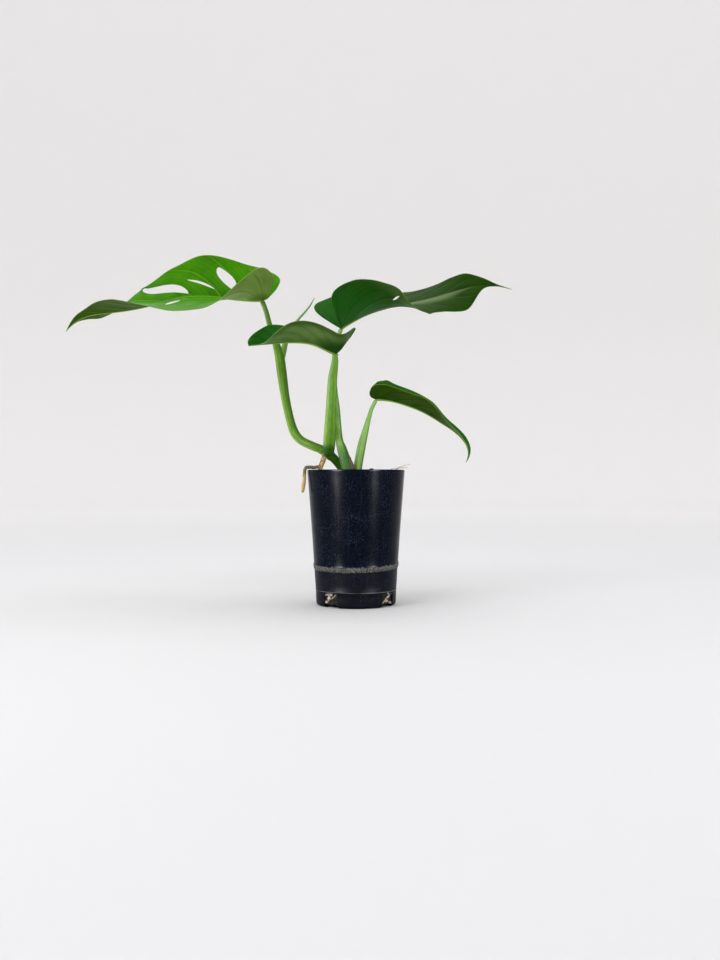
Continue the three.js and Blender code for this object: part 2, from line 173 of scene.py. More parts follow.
def easeTo(x, low, high):
    w = np.clip((x - low) / (high - low), 0, 1)
    return w * w * (3 - 2 * w)


def roughness3d(points, size, seed):  # smooth noise from -1 to 1 at points in millimetres
    shift = Vector((seed * 17.3, seed * 5.1, seed * 9.7))
    return np.array([noise.noise(Vector(p) / size + shift) for p in points])


def addNode(tree, kind, inputs=None, **settings):
    node = tree.nodes.new(kind)
    for key, value in settings.items():
        setattr(node, key, value)
    for key, value in (inputs or {}).items():
        if isinstance(value, bpy.types.NodeSocket):
            tree.links.new(value, node.inputs[key])
        else:
            node.inputs[key].default_value = value
    return node


def math2(tree, operation, a, b=0.0, clamp=False):
    return addNode(tree, "ShaderNodeMath", {0: a, 1: b}, operation=operation, use_clamp=clamp).outputs[0]


def times(tree, a, b):
    return math2(tree, "MULTIPLY", a, b)


def plus(tree, a, b, clamp=False):
    return math2(tree, "ADD", a, b, clamp)


def minus(tree, a, b):
    return math2(tree, "SUBTRACT", a, b)


def fade(tree, value, low, high, start=0.0, end=1.0):  # start at low, end at high, smooth between
    return addNode(tree, "ShaderNodeMapRange", {
        "Value": value, "From Min": low, "From Max": high, "To Min": start, "To Max": end,
    }, interpolation_type="SMOOTHSTEP").outputs["Result"]


def blend(tree, amount, first, second):
    node = addNode(tree, "ShaderNodeMix", data_type="RGBA", clamp_factor=True)
    for index, value in ((0, amount), (6, first), (7, second)):
        if isinstance(value, bpy.types.NodeSocket):
            tree.links.new(value, node.inputs[index])
        else:
            node.inputs[index].default_value = value
    return node.outputs[2]


def objectPlace(tree, stretch=(1, 1, 1)):
    place = addNode(tree, "ShaderNodeTexCoord").outputs["Object"]
    return addNode(tree, "ShaderNodeMapping", {"Vector": place, "Scale": stretch}).outputs["Vector"]


def speckle(tree, place, perMetre, detail=3.0, rough=0.5):
    return addNode(tree, "ShaderNodeTexNoise", {
        "Vector": place, "Scale": perMetre, "Detail": detail, "Roughness": rough}).outputs["Fac"]


def attribute(tree, name):
    return addNode(tree, "ShaderNodeAttribute", attribute_name=name, attribute_type="GEOMETRY").outputs["Fac"]


def bump(tree, height, depth, strength=1.0):
    return addNode(tree, "ShaderNodeBump", {
        "Height": height, "Distance": depth * mm, "Strength": strength}).outputs["Normal"]


def newMaterial(name, **plain):  # plain holds the values that are the same all over
    material = bpy.data.materials.new(name)
    material.use_nodes = True
    shader = material.node_tree.nodes["Principled BSDF"]
    for key, value in plain.items():
        shader.inputs[key.replace("_", " ")].default_value = value
    return material, material.node_tree, shader


def link(tree, socket, shader, name):
    tree.links.new(socket, shader.inputs[name])


def tint(red, green, blue):  # a colour as a picture program shows it, 0 to 255
    def straight(c):
        c /= 255
        return c / 12.92 if c <= 0.04045 else ((c + 0.055) / 1.055) ** 2.4
    return (straight(red), straight(green), straight(blue), 1.0)


stageLook = {
    "cameraAt": (3.5, -792.5, 108.6),
    "lens": 33.86,
    "floorRadius": 2600,
    "wallHeight": 2400,
    "bend": 910,  # of the floor up into the wall
    "bendSteps": 12,
    "floorColour": tint(216, 216, 217),
    "wallColour": tint(245, 244, 243),
    "skyStrength": 1.05,
    "skyColour": tint(250, 250, 252),
}

lamps = [  # name, place, looks at, width, height, power
    ("keyLamp", (-900, -900, 1500), (-40, 0, 200), 900, 900, 9.0),
    ("topLamp", (150, 350, 1800), (-40, 0, 200), 1300, 1100, 8.0),
    ("leftPanel", (-385, -390, 205), (0, 0, 150), 190, 310, 11.0),
    ("rightPanel", (370, -385, 205), (0, 0, 150), 150, 310, 6.8),
]


def makeStage(look):
    clearSelection()
    bpy.ops.object.camera_add(location=[c * mm for c in look["cameraAt"]], rotation=(math.pi / 2, 0, 0))
    camera = bpy.context.object
    camera.name = "photoCamera"
    camera.data.lens = look["lens"]
    camera.data.sensor_width = 36
    bpy.context.scene.camera = camera

    clearSelection()
    bpy.ops.mesh.primitive_circle_add(vertices=96, radius=look["floorRadius"] * mm, fill_type="NGON")
    floor = bpy.context.object
    floor.name = "floor"
    bpy.ops.object.mode_set(mode="EDIT")
    bpy.ops.mesh.select_mode(type="EDGE")
    bpy.ops.mesh.select_all(action="SELECT")
    bpy.ops.mesh.region_to_loop()
    quarter = math.pi / 2
    for step in range(look["bendSteps"]):  # the floor sweeps up into the wall
        turn = quarter * (step + 0.5) / look["bendSteps"]
        reach = look["bend"] * quarter / look["bendSteps"]
        before = look["floorRadius"] + look["bend"] * math.sin(quarter * step / look["bendSteps"])
        rise = reach * math.sin(turn) * mm
        grow = (before + reach * math.cos(turn)) / before
        bpy.ops.mesh.extrude_region_move(TRANSFORM_OT_translate={"value": (0, 0, rise)})
        bpy.ops.transform.resize(value=(grow, grow, 1))
    bpy.ops.mesh.extrude_region_move(TRANSFORM_OT_translate={"value": (0, 0, look["wallHeight"] * mm)})
    stopEditing()
    smooth(floor, 30)
    material, tree, shader = newMaterial("paleFloor", Roughness=0.9, Specular_IOR_Level=0.1)
    place = addNode(tree, "ShaderNodeTexCoord").outputs["Object"]
    reach = addNode(tree, "ShaderNodeVectorMath", {0: place}, operation="LENGTH").outputs["Value"]
    paler = fade(tree, reach, 0.5, look["floorRadius"] * mm)
    link(tree, blend(tree, paler, look["floorColour"], look["wallColour"]), shader, "Base Color")
    floor.data.materials.append(material)

    world = bpy.data.worlds.new("softRoom")
    world.use_nodes = True
    sky = world.node_tree.nodes["Background"]
    sky.inputs["Color"].default_value = look["skyColour"]
    sky.inputs["Strength"].default_value = look["skyStrength"]
    bpy.context.scene.world = world
    bpy.context.scene.view_settings.view_transform = "Standard"


def makeLamp(name, place, aim, width, height, power):
    clearSelection()
    bpy.ops.object.light_add(type="AREA", location=[c * mm for c in place])
    lamp = bpy.context.object
    lamp.name = name
    panel = name.endswith("Panel")  # the panels are there only for the highlights down the pot
    lamp.data.shape = "ELLIPSE" if panel else "RECTANGLE"
    lamp.data.size = width * mm
    lamp.data.size_y = height * mm
    lamp.data.energy = power
    lamp.rotation_euler = (Vector(aim) - Vector(place)).to_track_quat("-Z", "Y").to_euler()
    lamp.visible_camera = False
    lamp.visible_diffuse = not panel


makeStage(stageLook)
for lamp in lamps:
    makeLamp(*lamp)
print("stage ready")


pot = {
    "outside": [
        (0, 0), (32.2, 0), (33.4, 0.25), (34.2, 0.8), (34.7, 1.7), (34.9, 2.8), (35.1, 8),  # foot
        (35.25, 12.6), (35.5, 13.1), (35.5, 13.5), (35.3, 14), (35.8, 20), (36.35, 28.6),  # mould line
        (36.5, 29.6), (36.9, 30.2), (37.15, 31), (37.25, 32), (37.3, 33), (37.35, 34), (37.1, 34.7),  # band
        (36.95, 35.6), (37.5, 45), (38.1, 56), (39.35, 73), (40.6, 90), (41.9, 107),  # wall
        (42.6, 115.8), (42.7, 116.6), (42.55, 117.2), (42.2, 117.5)],  # rim
    "inside": [
        (41.8, 117.4), (41.5, 117), (41.3, 115.8), (39.4, 90), (36.9, 56), (35.8, 34), (33.5, 4.5),
        (31.6, 1.8), (0, 1.8)],
    "steps": 240,
    "holeTurns": (-38, 52, 142, 232),  # degrees from the photographed side
    "holeWidth": 14.5,
    "holeTop": 12.6,
    "holeCorner": 2.6,
    "bandFrom": 29.4,
    "bandTo": 34.9,
    "bandRadius": 37.3,
    "bandRise": 2.3,
    "bandTilt": (0.7, 1.8),  # rise of the band towards +X and +Y
    "bandRelief": 0.22,
    "bandStray": 4.4,  # how far its scuffed edges wander
    "mouldLine": (12.9, 13.7),
    "sheen": 0.05,
    "gloss": (0.18, 0.25),
    "black": tint(0, 6, 21),
    "dust": tint(60, 74, 98),
    "foot": tint(24, 24, 28),  # greyer than the wall
    "scuff": tint(158, 158, 148),
}


def bandShift(x, y, values):
    tiltX, tiltY = values["bandTilt"]
    return values["bandRise"] + (tiltX * x + tiltY * y) / values["bandRadius"]


def potMaterial(values):
    material, tree, shader = newMaterial("potPlastic", Specular_IOR_Level=values["sheen"])
    place = objectPlace(tree)
    parts = addNode(tree, "ShaderNodeSeparateXYZ", {"Vector": place})
    tiltX, tiltY = (-tilt / values["bandRadius"] for tilt in values["bandTilt"])
    tilted = plus(tree, times(tree, parts.outputs["X"], tiltX), times(tree, parts.outputs["Y"], tiltY))
    stray = times(tree, minus(tree, speckle(tree, place, 420, 5, 0.7), 0.5), values["bandStray"] * mm)
    height = plus(tree, plus(tree, parts.outputs["Z"], tilted), stray)
    height = minus(tree, height, values["bandRise"] * mm)
    low, high = values["bandFrom"], values["bandTo"]
    rising = fade(tree, height, (low + 0.2) * mm, (low + 1.2) * mm)
    falling = fade(tree, height, (high - 1.2) * mm, (high - 0.3) * mm, 1.0, 0.0)
    grit = fade(tree, speckle(tree, place, 900, 5, 0.75), 0.34, 0.62)
    band = times(tree, times(tree, rising, falling), grit)
    band = times(tree, band, fade(tree, height, low * mm, high * mm, 0.6, 1.0))
    # a paler line along the mould line's ridge: painted highlight
    low, high = values["mouldLine"]
    mould = times(tree, fade(tree, parts.outputs["Z"], low * mm, (low + 0.3) * mm),
                  fade(tree, parts.outputs["Z"], (high - 0.3) * mm, high * mm, 1.0, 0.0))
    mould = times(tree, mould, fade(tree, speckle(tree, place, 60, 2), 0.35, 0.6))
    dust = fade(tree, speckle(tree, place, 1250, 3, 0.6), 0.54, 0.7)
    dust = times(tree, dust, fade(tree, speckle(tree, place, 55, 3), 0.38, 0.66, 0.3, 0.95))
    streaks = objectPlace(tree, (1, 1, 0.08))
    rubbed = times(tree, fade(tree, speckle(tree, streaks, 380, 4, 0.6), 0.55, 0.8), 0.18)
    footTop = (values["bandFrom"] - 0.2) * mm, (values["bandFrom"] + 0.8) * mm
    colour = blend(tree, dust, values["black"], values["dust"])
    colour = blend(tree, rubbed, colour, values["dust"])
    colour = blend(tree, fade(tree, height, *footTop, 0.35, 0.0), colour, values["foot"])
    colour = blend(tree, times(tree, band, 0.8), colour, values["scuff"])
    colour = blend(tree, times(tree, mould, 0.5), colour, values["scuff"])
    link(tree, colour, shader, "Base Color")
    rough = fade(tree, speckle(tree, place, 120, 3), 0.3, 0.7, *values["gloss"])
    rough = plus(tree, rough, times(tree, band, 0.45))
    link(tree, plus(tree, rough, fade(tree, height, *footTop, 0.16, 0.0)), shader, "Roughness")
    grain = plus(tree, speckle(tree, place, 900, 3, 0.6), times(tree, times(tree, band, grit), 4.0))
    link(tree, bump(tree, grain, 0.07), shader, "Normal")
    return material


def makePot(values):
    def inBand(radius, height):
        return 3 if values["bandFrom"] - 1 < height < values["bandTo"] + 0.4 and radius > 36 else 1

    profile = finerProfile(values["outside"] + values["inside"], 6, inBand)
    shell = turnedShape("pot_shell", profile, values["steps"])

    cutters = []
    for turn in values["holeTurns"]:
        clearSelection()
        bpy.ops.mesh.primitive_cube_add(size=1)
        cutter = bpy.context.object
        bpy.ops.object.mode_set(mode="EDIT")
        bpy.ops.transform.resize(value=(values["holeWidth"] * mm, 15 * mm, (values["holeTop"] + 6) * mm))
        bpy.ops.transform.translate(value=(0, -34.5 * mm, (values["holeTop"] - 6) / 2 * mm))
        stopEditing()
        mesh = cutter.data
        for edge in mesh.edges:  # the two long edges at the top of the cut
            a, b = (mesh.vertices[k].co for k in edge.vertices)
            edge.select = abs(a.y - b.y) > 0.01 and a.z > 0 and b.z > 0
        bpy.ops.object.mode_set(mode="EDIT")
        bpy.ops.mesh.select_mode(type="EDGE")
        bpy.ops.mesh.bevel(offset=values["holeCorner"] * mm, segments=6)
        bpy.ops.mesh.select_all(action="SELECT")
        bpy.ops.transform.rotate(value=-math.radians(turn), orient_axis="Z", center_override=(0, 0, 0))
        stopEditing()
        cutters.append(cutter)
    cutter = joinAll(cutters, "pot_holes")
    applyModifier(shell, "BOOLEAN", operation="DIFFERENCE", object=cutter, solver="EXACT")
    bpy.data.objects.remove(cutter)

    points = pointsOf(shell)
    x, y, z = (points / mm).T
    reach = np.hypot(x, y)
    outer = reach > 34.5 + z * 0.05
    bandHere = easeTo(z, values["bandFrom"] - 0.2, values["bandFrom"] + 0.6) * (
        1 - easeTo(z, values["bandTo"] - 0.6, values["bandTo"] + 0.2)) * outer
    lift = bandHere * values["bandRelief"] * roughness3d(points / mm, 1.6, 3)
    shift = bandShift(x, y, values) * easeTo(z, 18, 29) * (1 - easeTo(z, 36, 50)) * outer
    points[:, 0] += lift * x / np.maximum(reach, 1) * mm
    points[:, 1] += lift * y / np.maximum(reach, 1) * mm
    points[:, 2] += shift * mm
    setPoints(shell, points)
    shell.name = shell.data.name = "pot_body"
    shell.data.materials.append(potMaterial(values))
    smooth(shell, 32)
    finish(shell, "pot")


makePot(pot)


mix = {
    "profile": [(0, 2.1), (31.2, 2.1), (33.0, 4.6), (35.3, 34), (36.4, 56), (38.9, 90), (40.3, 109),
                (39.6, 110.9), (36, 111.8), (28, 112.4), (18, 112.8), (9, 112.9), (0, 112.8)],
    "lumps": 0.9,
    "chips": 330,  # bark, perlite and coir lumps over the top
    "share": (0.5, 0.3, 0.2),  # of bark, of perlite, of dark crumbs
    "redShare": 0.3,  # of the bark
    "barkSize": (1.3, 3.2),
    "crumbSize": (0.7, 1.9),
    "sideChips": 15,  # behind each drain hole
    "sideKinds": ("perlite", "coir", "perlite", "bark", "coir"),
    "sideSize": (0.9, 2.1),
    "tallChip": (13, -27, 116.2),
    "threads": [  # pale fibres that stand over the rim at the right
        [(24, 20, 112), (32, 16, 116.5), (40, 9, 119.6), (46.5, 4, 119.2)],
        [(26, 12, 112), (34, 6, 117.5), (39, 2, 120.4), (43.6, -1, 121.6), (47.8, -3, 122.6)],
        [(22, 4, 112), (29, 0, 117.2), (34, -3, 118.9), (38.5, -5, 118.7)],
        [(30, 22, 112), (35, 16, 117.9), (38, 9, 119.3), (42, 1, 118.9)],
        [(-24, 14, 112), (-29, 10, 116), (-30, 4, 116.2)],
        [(4, 24, 112), (-3, 29, 116), (-12, 30, 115.4)],
        [(8, -20, 112), (14, -24, 115.4), (21, -24, 115.8), (26, -20, 113)],
    ],
    "bark": (tint(92, 58, 40), tint(58, 34, 24)),
    "redBark": tint(124, 66, 48),
    "perlite": (tint(222, 219, 208), tint(168, 158, 140)),
    "coir": (tint(16, 12, 9), tint(44, 32, 24)),
    "thread": (tint(205, 188, 158), tint(176, 150, 116)),
}


def crumbMaterial(name, colours, size, depth, rough):
    material, tree, shader = newMaterial(name, Roughness=rough, Specular_IOR_Level=0.25)
    place = objectPlace(tree)
    patches = fade(tree, speckle(tree, place, size, 5, 0.65), 0.32, 0.68)
    link(tree, blend(tree, patches, colours[0], colours[1]), shader, "Base Color")
    link(tree, bump(tree, speckle(tree, place, size * 3, 6, 0.7), depth), shader, "Normal")
    return material


def threadTube(path, radius, sides=6, rings=26):
    grid = addGrid(sides, rings)
    j, i = np.divmod(np.arange(len(grid.data.vertices)), sides + 1)
    u, turn = j / rings, 2 * np.pi * i / sides
    line = splineAt(path, u)
    step = splineAt(path, u + 0.01) - splineAt(path, u - 0.01)
    step /= np.linalg.norm(step, axis=1)[:, None]
    side = np.cross(np.broadcast_to((0.3, 0.9, 0.2), step.shape), step)
    side /= np.linalg.norm(side, axis=1)[:, None]
    other = np.cross(step, side)
    taper = radius * np.sqrt(np.clip(1 - (2 * u - 1) ** 8, 0, 1)) * (1 - 0.5 * u)
    points = line + taper[:, None] * (np.cos(turn)[:, None] * side + np.sin(turn)[:, None] * other)
    setPoints(grid, points * mm)
    weld(grid, 0.0008 * mm)
    return grid


def makeMix(values):
    draw = random.Random(11)
    body = turnedShape("mix_body", finerProfile(values["profile"], 3), 90)
    points = pointsOf(body)
    lumps = roughness3d(points / mm, 3.4, 2) * values["lumps"]
    points[:, 2] += lumps * easeTo(points[:, 2] / mm, 106, 111) * mm
    setPoints(body, points)

    looks = {
        "coir": crumbMaterial("coir", values["coir"], 700, 0.5, 0.95),
        "bark": crumbMaterial("bark", values["bark"], 420, 0.35, 0.85),
        "perlite": crumbMaterial("perlite", values["perlite"], 500, 0.3, 0.9),
        "redBark": crumbMaterial("redBark", (values["redBark"], values["bark"][1]), 420, 0.3, 0.85),
        "thread": crumbMaterial("paleThread", values["thread"], 300, 0.05, 0.7),
    }
    parts = []

    def add(part, look):
        part.data.materials.append(looks[look])
        parts.append(part)

    def addCrumb(at, size, look, slab):  # slab is 0 for a round crumb and 1 for a flat one
        clearSelection()
        bpy.ops.mesh.primitive_ico_sphere_add(subdivisions=2, radius=1)
        made = bpy.context.object
        points = pointsOf(made)
        points *= (1 + 0.28 * roughness3d(points, 0.9, draw.random() * 40))[:, None]
        long = 1 + slab * draw.uniform(0.4, 1.5)
        points *= np.array((size * long, size * draw.uniform(0.7, 1), size * (1 - 0.55 * slab)))
        turn = Vector((draw.uniform(-0.6, 0.6), draw.uniform(-0.6, 0.6), draw.uniform(0, 6.3)))
        for axis in range(3):
            c, s = math.cos(turn[axis]), math.sin(turn[axis])
            p, q = [k for k in range(3) if k != axis]
            first, second = points[:, p].copy(), points[:, q].copy()
            points[:, p] = c * first - s * second
            points[:, q] = s * first + c * second
        setPoints(made, (points + np.array(at)) * mm)
        add(made, look)

    def roundAxis(reach, turn, height):
        return reach * math.cos(turn), reach * math.sin(turn), height

    add(body, "coir")
    for _ in range(values["chips"]):
        reach, turn = 38.2 * math.sqrt(draw.random()), draw.uniform(0, 2 * math.pi)
        kind = draw.choices(("bark", "perlite", "coir"), values["share"])[0]
        if kind == "bark" and draw.random() < values["redShare"]:
            kind = "redBark"
        isBark = kind in ("bark", "redBark")
        size = draw.uniform(*values["barkSize" if isBark else "crumbSize"])
        at = roundAxis(min(reach, 38.8 - size), turn, 112.9 + draw.uniform(-0.5, 0.9))
        addCrumb(at, size, kind, 0.75 if isBark else 0.1)
    addCrumb(values["tallChip"], 2.7, "redBark", 0.2)
    for hole in pot["holeTurns"]:
        middle = math.radians(hole - 90)
        for k in range(values["sideChips"]):
            turn = middle + draw.uniform(-0.24, 0.24)
            size = draw.uniform(*values["sideSize"])
            at = roundAxis(33.9 - size * 0.55, turn, draw.uniform(3.2, 12))
            addCrumb(at, size, values["sideKinds"][k % 5], 0.3)
        path = [roundAxis(33.2, middle - 0.17, 3.4), roundAxis(34.1, middle - 0.05, 7.5),
                roundAxis(34.1, middle + 0.06, 8.8), roundAxis(33.2, middle + 0.15, 12.2)]
        add(threadTube(path, 0.7), "thread")
    for path in values["threads"]:
        add(threadTube(path, 0.3), "thread")
    whole = joinAll(parts, "mix_crumbs")
    smooth(whole, 50)
    finish(whole, "potting_mix")


makeMix(mix)


# Each station is x, y, z, half width, half depth. Round a stalk that stands upright, 0 degrees is the right
# side, 180 the left side and 270 the side that faces the camera.

vine = {
    "stations": [(2, 10, 96, 3.6, 3.6), (-7.5, 9, 115.7, 3.8, 3.8), (-13.3, 8, 120.4, 3.8, 3.8),
                 (-19, 6, 127.1, 3.9, 3.9), (-26, 4, 132.7, 4.3, 4.3), (-31.5, 3, 135.9, 3.8, 3.8),
                 (-37.9, 3, 138.4, 3.8, 3.8), (-48.7, 6, 143.8, 3.8, 3.8), (-55, 10, 151.3, 3.9, 3.8),
                 (-59.4, 14, 164, 3.7, 3.6), (-63.9, 19, 184.1, 3.9, 3.6), (-67.4, 24, 206.3, 4.4, 3.6),
                 (-69.8, 28, 221.3, 4.2, 3.3), (-73.1, 31, 232.6, 3.4, 2.9), (-78.9, 34, 249.5, 2.5, 2.5),
                 (-82.4, 35, 262.5, 2.2, 2.2), (-86.2, 34.2, 272.6, 2.3, 2.3)],
    "rings": 260,
    "groove": (35, 26, 0.16, 0.42, 0.86),  # degrees, width, depth, from, to
    "nodes": (0.215, 0.26, 0.30),  # scars where leaves once sat
    "green": tint(124, 170, 44),
    "shade": tint(84, 134, 34),
    # the colour of the painted shade, in the groove and down the shaded side
    "deep": tint(46, 96, 18),
    "dark": (0, 30, 98, 0.75),  # the side with painted shade: degrees, full within, gone by, amount
    "grooveShade": 0.7,
    "paintedHighlight": (205, 34, tint(160, 204, 92)),  # a painted highlight down one side: degrees, width, colour
    "base": (0.3, tint(52, 118, 18)),  # how far up the painted shade at the foot goes, colour
}
petiole2 = {
    "stations": [(-6, -7, 96, 3.6, 3), (-7.4, -6.5, 113.8, 4.6, 3.2), (-9.1, -6, 124.3, 4.7, 3.2),
                 (-12.4, -4, 135.7, 4.2, 3), (-14.5, -2.5, 142.8, 3.3, 2.7), (-15.6, 0, 152.5, 3.1, 2.6),
                 (-16.9, 3, 170.3, 2.8, 2.5), (-18.6, 5, 188.1, 2.2, 2.1), (-19.3, 6, 205.9, 2, 2),
                 (-18.1, 6.5, 223.6, 1.9, 1.9), (-15.8, 6, 235, 1.8, 1.8), (-13.2, 5.1, 242.1, 1.9, 1.9)],
    "rings": 170,
    "groove": (318, 22, 0.2, 0.04, 0.5),
    "green": tint(168, 212, 114),
    "shade": tint(110, 160, 62),
    "deep": tint(44, 100, 20),
    "dark": (0, 20, 66, 0.75),
    "grooveShade": 0.4,
    "paintedHighlight": (208, 26, tint(196, 222, 150)),
    "base": (0.36, tint(50, 116, 22)),
}
petiole3 = {
    "stations": [(-24.6, 1, 130, 4.6, 3.6), (-23.6, -3, 137.5, 5.2, 3.8), (-22.8, -7, 149, 5.2, 3.4),
                 (-21.6, -12, 168.6, 4.7, 3), (-20.1, -17, 194.5, 4, 2.7), (-17.9, -21, 210.5, 2.9, 2.3),
                 (-18.6, -22, 216.3, 2.1, 2.1)],
    "rings": 140,
    "groove": (292, 20, 0.2, 0.0, 0.72),
    "green": tint(126, 180, 52),
    "shade": tint(94, 150, 38),
    "deep": tint(60, 116, 26),
    "dark": (0, 12, 44, 0.55),
    "grooveShade": 0.45,
    "paintedHighlight": (200, 40, tint(176, 212, 118)),
    "base": (0.26, tint(30, 96, 26)),
}
petiole4 = {
    "stations": [(0.6, -2, 96, 3.2, 3), (1.1, -2, 113.9, 3.7, 3), (2.3, -2.5, 124.3, 3.8, 3),
                 (4.9, -4, 138.3, 3.7, 2.8), (7.9, -5.5, 150.4, 2.9, 2.4), (11.2, -6.5, 162.6, 2, 2),
                 (13.6, -7, 170.6, 1.7, 1.7), (17.4, -8, 178, 1.6, 1.6)],
    "rings": 130,
    "groove": (236, 22, 0.22, 0.05, 0.62),
    "green": tint(166, 214, 114),
    "shade": tint(118, 172, 74),
    "deep": tint(54, 112, 30),
    "dark": (350, 15, 60, 0.6),
    "grooveShade": 0.25,
    "paintedHighlight": (292, 34, tint(166, 214, 104)),
    "base": (0.2, tint(86, 150, 44)),
}


def stalkMaterial(name, values):
    material, tree, shader = newMaterial(name, Specular_IOR_Level=0.07, Subsurface_Weight=0.12,
                                         Subsurface_Radius=(0.6, 1.0, 0.25), Subsurface_Scale=1.2 * mm)
    turn, along, groove = (attribute(tree, key) for key in ("turn", "along", "groove"))

    def awayFrom(degrees):
        return math2(tree, "PINGPONG", minus(tree, turn, degrees / 360), 0.5)

    angle = times(tree, turn, 2 * math.pi)
    fibrePlace = addNode(tree, "ShaderNodeCombineXYZ", {
        "X": math2(tree, "COSINE", angle), "Y": math2(tree, "SINE", angle),
        "Z": times(tree, along, 3.0)}).outputs["Vector"]
    fibres = fade(tree, speckle(tree, fibrePlace, 6, 4, 0.65), 0.36, 0.64)
    colour = blend(tree, fibres, values["green"], values["shade"])
    mottle = fade(tree, speckle(tree, objectPlace(tree), 130, 3), 0.35, 0.7, 0.0, 0.35)
    colour = blend(tree, mottle, colour, values["shade"])
    # a pale streak down one side of each stalk: painted highlight
    middle, width, pale = values["paintedHighlight"]
    paintedHighlight = fade(tree, awayFrom(middle), width / 360 * 0.55, width / 360 * 1.25, 1.0, 0.0)
    paintedHighlight = times(tree, paintedHighlight, fade(tree, fibres, 0.0, 1.0, 0.9, 0.55))
    colour = blend(tree, paintedHighlight, colour, pale)
    # a foot of another colour: painted shade where the stalks crowd together, and the spear's own yellower
    # green
    top, dark = values["base"]
    colour = blend(tree, fade(tree, along, top * 0.55, top, 0.85, 0.0), colour, dark)
    # painted shade in the groove
    colour = blend(tree, times(tree, groove, values["grooveShade"]), colour, values["deep"])
    # painted shade down the side turned away from the light
    middle, full, gone, amount = values["dark"]
    sideShade = fade(tree, awayFrom(middle), full / 360, gone / 360, amount, 0.0)
    colour = blend(tree, sideShade, colour, values["deep"])
    link(tree, colour, shader, "Base Color")
    link(tree, fade(tree, fibres, 0.0, 1.0, 0.34, 0.46), shader, "Roughness")
    link(tree, bump(tree, speckle(tree, fibrePlace, 22, 3), 0.12), shader, "Normal")
    return material


def sweep(name, values, sides, extra=None):
    rings = values["rings"]
    stations = values["stations"]
    grid = addGrid(sides, rings)
    j, i = np.divmod(np.arange(len(grid.data.vertices)), sides + 1)
    u, turn = j / rings, i / sides
    place = splineAt(stations, u)
    step = (splineAt(stations, u + 1e-3) - splineAt(stations, u - 1e-3))[:, :3]
    step /= np.linalg.norm(step, axis=1)[:, None]
    across = np.cross((0, 1, 0), step)
    across /= np.linalg.norm(across, axis=1)[:, None]
    out = np.cross(step, across)
    angle = 2 * np.pi * turn
    lengths = np.linalg.norm(np.diff(splineAt(stations, np.arange(rings + 1) / rings)[:, :3], axis=0), axis=1)
    travelled = np.concatenate([[0], np.cumsum(lengths)])[j]
    fromEnd = np.minimum(travelled, travelled.max() - travelled)
    rounded = np.sqrt(np.clip(1 - (1 - np.clip(fromEnd / (place[:, 4] * 0.7), 0, 1)) ** 2, 0, 1))
    swell = np.ones(len(u))
    at, width, depth, start, end = values.get("groove", (0, 10, 0, 0, 1))
    away = np.abs((turn - at / 360 + 0.5) % 1 - 0.5) * 360
    here = easeTo(u, start, start + 0.05) * (1 - easeTo(u, end - 0.12, end))
    groove = np.exp(-(away / width) ** 2 * 3) * here
    swell -= depth * groove
    swell += depth * 0.3 * np.exp(-((away - width * 1.15) / (width * 0.45)) ** 2) * here
    for mark in values.get("nodes", ()):
        swell += 0.07 * np.exp(-((u - mark) / 0.006) ** 2)
    if extra:
        swell *= extra(u, turn, travelled)
    wide, deep = (place[:, k] * rounded * swell for k in (3, 4))
    points = (place[:, :3] + across * (np.cos(angle) * wide)[:, None] + out * (np.sin(angle) * deep)[:, None])
    setPoints(grid, points * mm)
    addLayers(grid, {"turn": turn, "along": u, "groove": groove})
    weld(grid, 0.0005 * mm)
    grid.name = grid.data.name = name
    return grid


def makeStalk(name, values, node, extra=None):
    stalk = sweep(name, values, 32, extra)
    stalk.data.materials.append(stalkMaterial(name + "_skin", values))
    smooth(stalk, 60)
    finish(stalk, node)


makeStalk("vine_and_stalk_1", vine, "vine_stem")
for number, petiole in ((2, petiole2), (3, petiole3), (4, petiole4)):
    makeStalk("stalk_%d" % number, petiole, "petiole_%d" % number)
print("stalks ready")

newLeaf = {
    "stations": [(-67.6, 28.6, 214, 1.8, 1.6), (-66.2, 29.6, 225.2, 2.6, 2.2), (-64.4, 30, 233.4, 2.4, 2.2),
                 (-59.7, 29, 244.1, 1.7, 1.7), (-53.3, 27, 253.3, 1.2, 1.2), (-44.3, 25, 263.2, 0.9, 0.9),
                 (-40.4, 24, 268.6, 0.65, 0.65), (-37.6, 23, 273.4, 0.3, 0.3)],
    "rings": 130,
    "turns": 1.3,  # of the rolled edge round the spear
    "green": tint(142, 166, 114),
    "shade": tint(92, 122, 72),
    "deep": tint(96, 136, 66),
    "dark": (0, 30, 100, 0.6),
    "grooveShade": 0.0,
    "paintedHighlight": (240, 30, tint(204, 218, 182)),
    "base": (0.42, tint(112, 168, 52)),
}


def rolledEdge(u, turn, travelled):
    behind = (turn - newLeaf["turns"] * u) % 1
    return 1 + 0.16 * (behind - 0.5) * easeTo(u, 0.1, 0.3)


makeStalk("rolled_leaf", newLeaf, "new_leaf_spear", rolledEdge)

root = {
    "down": [(-26.6, 2, 131.5, 2, 2), (-27.8, 0, 129, 2.3, 2.3), (-29.3, -1, 124.4, 2.2, 2.2),
             (-31, -2, 119.1, 2, 2), (-32, -2, 113, 1.7, 1.7), (-32.5, -2, 104, 1.3, 1.3)],
    "over": [(-30.6, -2, 120.6, 1.4, 1.4), (-36.3, -5, 119.6, 1.5, 1.5), (-40.6, -7, 119.7, 1.5, 1.5),
             (-43.6, -8, 119, 1.5, 1.5), (-44.7, -8.2, 114.6, 1.5, 1.5), (-44.9, -8.2, 108, 1.5, 1.5),
             (-45.8, -8.3, 102.5, 1.5, 1.5), (-46.4, -8.4, 98.4, 1.3, 1.3), (-46.5, -8.4, 97.6, 0.7, 0.7)],
    "onRim": (-35, -32),  # along X, the end of the stretch that lies on the rim
    "hanging": ((108, 118), (-43, -41.5)),  # below these heights and outside these places along X
    "gold": tint(204, 176, 94),
    "brown": tint(78, 50, 26),
    "olive": tint(84, 74, 34),
    "pale": tint(208, 190, 104),
}


